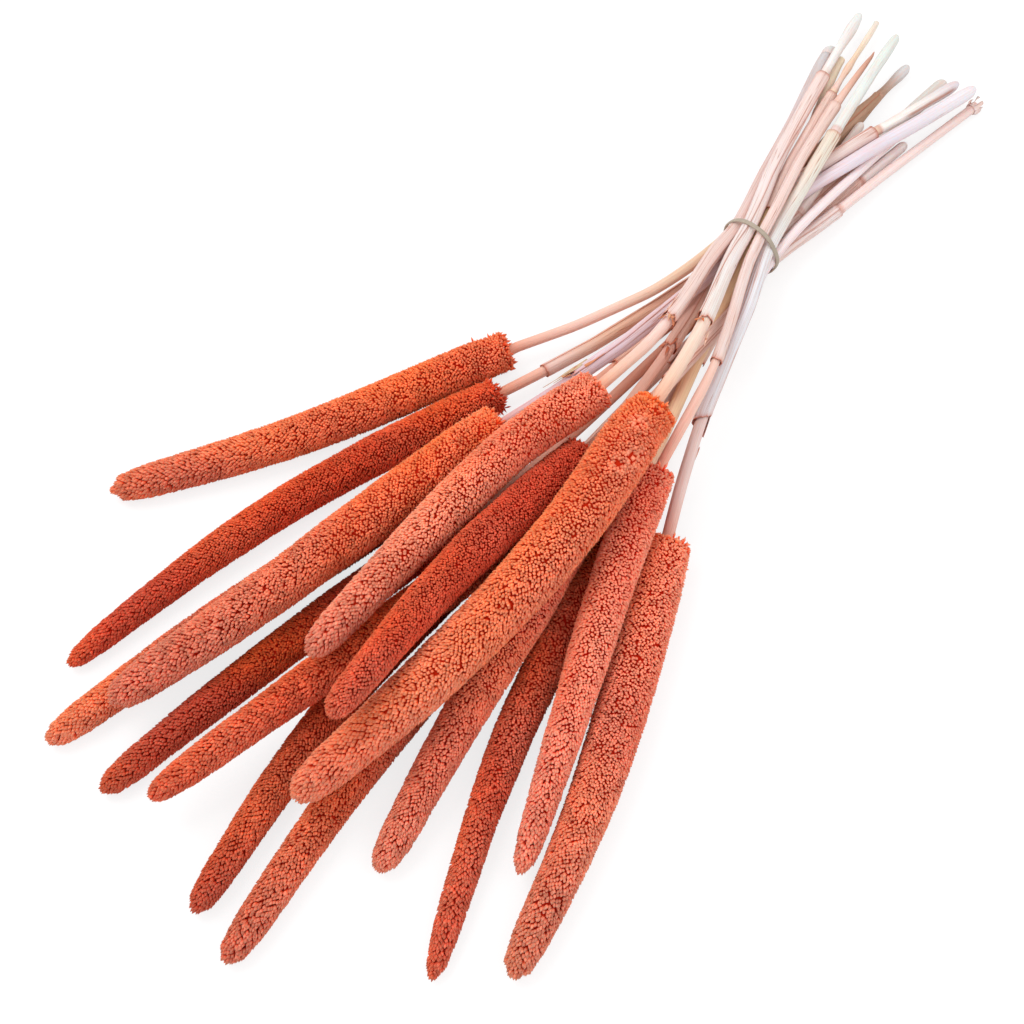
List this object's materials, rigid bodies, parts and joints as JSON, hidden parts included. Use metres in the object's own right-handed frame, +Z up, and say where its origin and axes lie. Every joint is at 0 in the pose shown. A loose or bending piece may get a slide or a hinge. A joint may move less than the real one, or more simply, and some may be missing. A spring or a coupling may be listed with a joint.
{
  "type": "tied bunch of dried babala stems",
  "caption": "Lying bunch of dried, dyed babala (pearl millet) stems: dense grainy coral seed heads fanned out on pale stalks with papery leaf sheaths, gathered by a thin rubber band.",
  "frame": {"origin": "on the surface the bunch lies on, below the middle of its plan", "axes": "+X along the bunch from the seed heads towards the cut ends, +Y across the fan, +Z up"},
  "size_m": [0.6846, 0.3416, 0.0763],
  "materials": {
    "dyed_grain": "matt, dyed coral-orange millet grains with deep red gaps between them",
    "dried_stalk": "satin, pale pink to tan straw with fine lengthwise ridges",
    "dry_leaf_sheath": "matt papery dry leaf, veined lengthwise, darker along its torn edges",
    "rubber_band": "dull taupe rubber, stretched"
  },
  "bodies": {
    "root": {"head_01": "dyed_grain", "head_02": "dyed_grain", "head_03": "dyed_grain", "head_04": "dyed_grain", "head_05": "dyed_grain", "head_06": "dyed_grain", "head_07": "dyed_grain", "head_08": "dyed_grain", "head_09": "dyed_grain", "head_10": "dyed_grain", "head_11": "dyed_grain", "head_12": "dyed_grain", "head_13": "dyed_grain", "head_14": "dyed_grain", "head_15": "dyed_grain", "stalk_01": "dried_stalk", "stalk_02": "dried_stalk", "stalk_03": "dried_stalk", "stalk_04": "dried_stalk", "stalk_05": "dried_stalk", "stalk_06": "dried_stalk", "stalk_07": "dried_stalk", "stalk_08": "dried_stalk", "stalk_09": "dried_stalk", "stalk_10": "dried_stalk", "stalk_11": "dried_stalk", "stalk_12": "dried_stalk", "stalk_13": "dried_stalk", "stalk_14": "dried_stalk", "stalk_15": "dried_stalk", "sheath_01": "dry_leaf_sheath", "sheath_02": "dry_leaf_sheath", "sheath_03": "dry_leaf_sheath", "sheath_04": "dry_leaf_sheath", "sheath_05": "dry_leaf_sheath", "sheath_06": "dry_leaf_sheath", "sheath_07": "dry_leaf_sheath", "sheath_08": "dry_leaf_sheath", "sheath_09": "dry_leaf_sheath", "sheath_10": "dry_leaf_sheath", "sheath_11": "dry_leaf_sheath", "sheath_13": "dry_leaf_sheath", "sheath_14": "dry_leaf_sheath", "sheath_15": "dry_leaf_sheath", "band": "rubber_band"}
  },
  "joints": []
}
